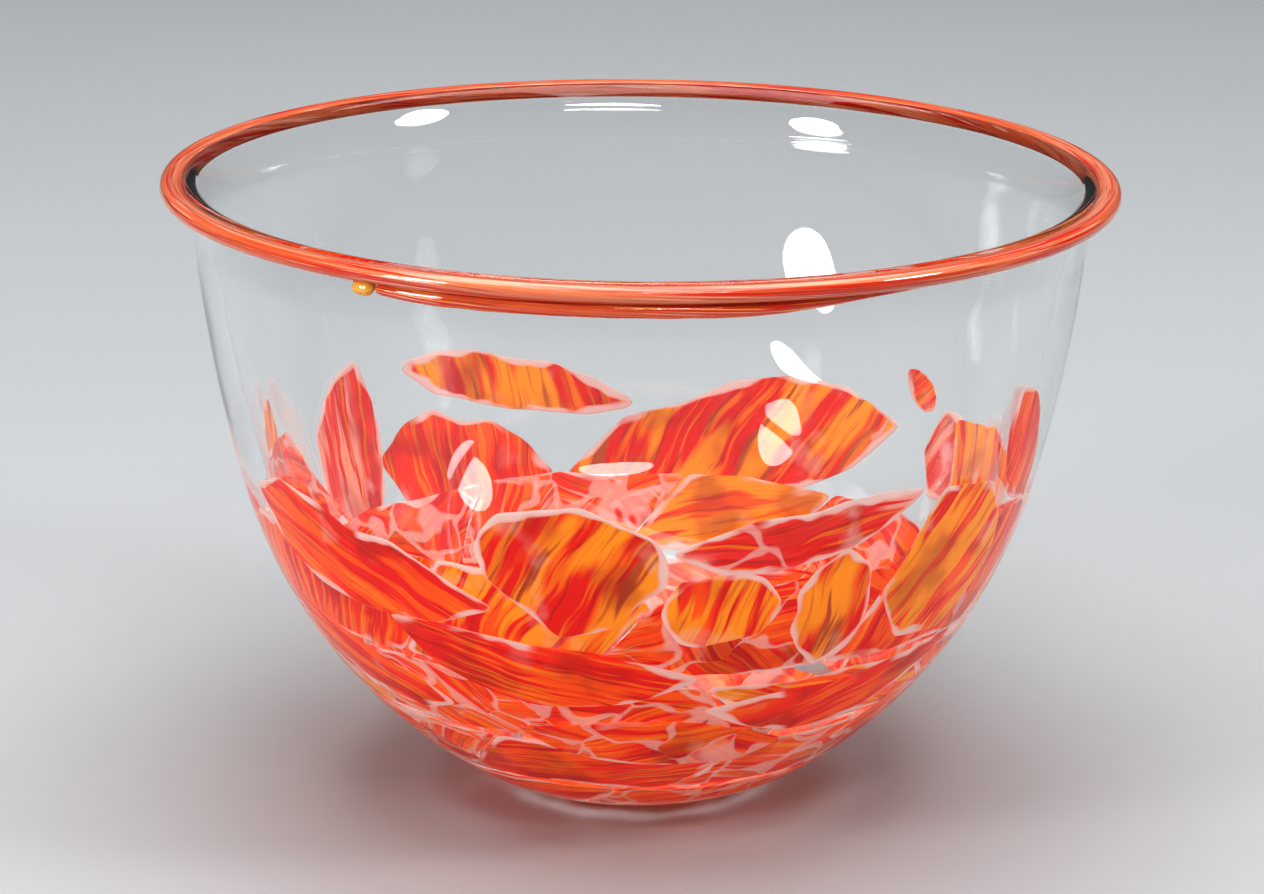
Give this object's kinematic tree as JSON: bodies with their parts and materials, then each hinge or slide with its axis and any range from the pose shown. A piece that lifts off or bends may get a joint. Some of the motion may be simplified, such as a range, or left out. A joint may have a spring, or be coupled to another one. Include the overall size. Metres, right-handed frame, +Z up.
{
  "type": "art glass bowl",
  "caption": "Deep round-bottomed blown glass bowl, clear above and packed with red, orange and yellow shards below, with a streaked coral cane wrapped round the lip.",
  "frame": {"origin": "centre of the flat ground under the base", "axes": "+Z up through the mouth, -Y towards the viewer, +X to the viewer's right"},
  "size_m": [0.1647, 0.1648, 0.1093],
  "materials": {
    "clear_glass": "clear, fire polished",
    "red_glass": "opaque red glass with orange streaks, pale edge",
    "orange_glass": "opaque orange glass with red and yellow streaks, pale edge",
    "amber_glass": "opaque amber glass with red and brown stripes, pale edge",
    "pink_glass": "pink-red glass, a little see-through",
    "coral_cane": "streaked coral, red and yellow cane, fire polished",
    "yellow_cane": "yellow and white cane end"
  },
  "bodies": {
    "root": {"inner_gather": "clear_glass", "middle_gather": "clear_glass", "outer_gather": "clear_glass", "lip_wrap": "coral_cane", "wrap_tail": "coral_cane", "wrap_start_bit": "yellow_cane", "left_blade": "orange_glass", "centre_shard": "amber_glass", "pink_tongue": "pink_glass", "amber_block": "amber_glass", "striped_block": "amber_glass", "right_flag": "orange_glass", "right_loop": "red_glass", "lower_flame": "red_glass", "right_sweep": "red_glass", "left_spear": "pink_glass", "back_left_panel": "red_glass", "back_fold": "amber_glass", "back_dome": "amber_glass", "back_sliver": "red_glass", "right_spear": "pink_glass", "left_sweep": "orange_glass", "near_keel": "red_glass", "left_keel": "orange_glass", "right_keel": "amber_glass", "left_edge_shard": "orange_glass", "left_stub": "amber_glass", "right_edge_shard": "orange_glass", "back_sweep": "orange_glass", "back_keel": "red_glass", "foot_shards": "red_glass", "keel_shard_1": "orange_glass", "keel_shard_2": "red_glass", "keel_shard_3": "amber_glass", "keel_shard_4": "red_glass", "keel_shard_5": "orange_glass", "keel_shard_6": "red_glass", "belly_shard_1": "red_glass", "belly_shard_2": "amber_glass", "belly_shard_3": "red_glass", "belly_shard_4": "orange_glass", "belly_shard_5": "red_glass", "belly_shard_6": "amber_glass", "belly_shard_7": "red_glass", "belly_shard_8": "orange_glass", "waist_shard_1": "amber_glass", "waist_shard_2": "red_glass", "waist_shard_3": "orange_glass", "waist_shard_4": "red_glass", "waist_shard_5": "amber_glass", "waist_shard_6": "red_glass", "waist_shard_7": "orange_glass", "waist_shard_8": "red_glass", "waist_shard_9": "amber_glass", "crest_shard_1": "red_glass", "crest_shard_2": "orange_glass", "crest_shard_3": "red_glass", "crest_shard_4": "amber_glass", "crest_shard_5": "red_glass", "crest_shard_6": "orange_glass"}
  },
  "joints": []
}
